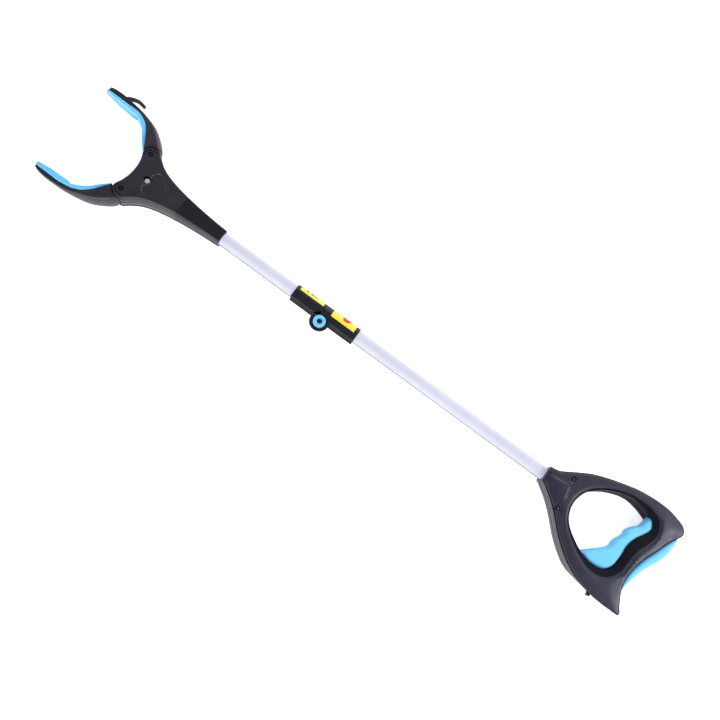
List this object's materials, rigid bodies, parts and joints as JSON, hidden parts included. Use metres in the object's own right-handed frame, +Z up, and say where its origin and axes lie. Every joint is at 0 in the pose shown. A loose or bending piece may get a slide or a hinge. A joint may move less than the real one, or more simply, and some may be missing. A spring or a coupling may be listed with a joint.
{
  "type": "reacher grabber",
  "caption": "Folding pick-up tool: D-shaped handle with a squeeze trigger, tubes joined by a folding hinge, and padded jaws closed by a cable.",
  "frame": {"origin": "under the middle of the whole object's box, on the surface that it lies on", "axes": "+X along the tubes towards the jaws, +Y across the object towards the hinge knuckle and the lower jaw, +Z up from the surface"},
  "size_m": [0.8094, 0.1572, 0.028],
  "materials": {
    "black_plastic": "moulded, fine satin grain",
    "blue_rubber": "soft-touch overmould, matte",
    "anodised_tube": "satin anodised",
    "steel": "zinc-plated",
    "yellow_label": "printed vinyl sticker",
    "grey_plastic": "natural acetal"
  },
  "bodies": {
    "handle": {"handle_front_shell": "black_plastic", "handle_back_shell": "black_plastic", "palm_pad": "blue_rubber", "handle_screws": "steel", "rear_tube": "anodised_tube", "rear_tube_pin": "steel", "cable_guide": "grey_plastic", "guide_rod": "steel", "handle_cable": "steel", "trigger_spring": "steel", "hinge_rear_half": "black_plastic", "rear_hinge_rivets": "steel", "hinge_pin": "black_plastic", "lock_collar": "steel", "button_spring": "steel", "rear_label": "yellow_label", "fold_cable": "steel"},
    "trigger": {"trigger": "blue_rubber", "trigger_slider": "black_plastic", "cable_anchor": "steel"},
    "rear_cable": {"rear_cable": "steel"},
    "release_button": {"release_button": "blue_rubber"},
    "front_arm": {"hinge_front_half": "black_plastic", "front_hinge_rivets": "steel", "front_label": "yellow_label", "front_tube": "anodised_tube", "front_tube_pin": "steel", "yoke_front_shell": "black_plastic", "yoke_back_shell": "black_plastic", "yoke_screw": "steel", "jaw_pivot_pins": "black_plastic", "jaw_spring": "steel"},
    "crosshead": {"crosshead": "grey_plastic", "front_cable": "steel", "cable_ferrule": "steel"},
    "upper_jaw": {"upper_jaw": "black_plastic", "upper_pad": "blue_rubber", "upper_drive_pin": "steel"},
    "lower_jaw": {"lower_jaw": "black_plastic", "lower_pad": "blue_rubber", "lower_drive_pin": "steel"}
  },
  "joints": [
    {"name": "fold_hinge", "type": "hinge", "parent": "handle", "child": "front_arm", "pos_m": [0.05702, 0.00867, 0.014], "axis": [0, 0, 1], "range_deg": [0, 158], "deforming": ["fold_cable"]},
    {"name": "trigger_squeeze", "type": "slide", "parent": "handle", "child": "trigger", "axis": [-1, 0, 0], "range_m": [0, 0.013], "stiffness_N_per_m": 500, "springref_m": -0.006, "deforming": ["trigger_spring", "handle_cable"]},
    {"name": "rear_cable_pull", "type": "slide", "parent": "handle", "child": "rear_cable", "axis": [-1, 0, 0], "range_m": [0, 0.012]},
    {"name": "release_press", "type": "slide", "parent": "handle", "child": "release_button", "axis": [0, 0, -1], "range_m": [0, 0.002], "stiffness_N_per_m": 600, "springref_m": -0.001, "deforming": ["button_spring"]},
    {"name": "crosshead_pull", "type": "slide", "parent": "front_arm", "child": "crosshead", "axis": [-1, 0, 0], "range_m": [0, 0.012], "deforming": ["jaw_spring"]},
    {"name": "upper_jaw_close", "type": "hinge", "parent": "front_arm", "child": "upper_jaw", "pos_m": [0.31451, -0.03013, 0.014], "axis": [0, 0, 1], "range_deg": [0, 35.5]},
    {"name": "lower_jaw_close", "type": "hinge", "parent": "front_arm", "child": "lower_jaw", "pos_m": [0.31451, 0.02047, 0.014], "axis": [0, 0, -1], "range_deg": [0, 31.7]}
  ],
  "couplings": [
    {"joint": "rear_cable_pull", "follows": "trigger_squeeze", "ratio": 0.923},
    {"joint": "crosshead_pull", "follows": "trigger_squeeze", "ratio": 0.923},
    {"joint": "upper_jaw_close", "follows": "trigger_squeeze", "rad_per_m": 47.657},
    {"joint": "lower_jaw_close", "follows": "trigger_squeeze", "rad_per_m": 42.556}
  ]
}
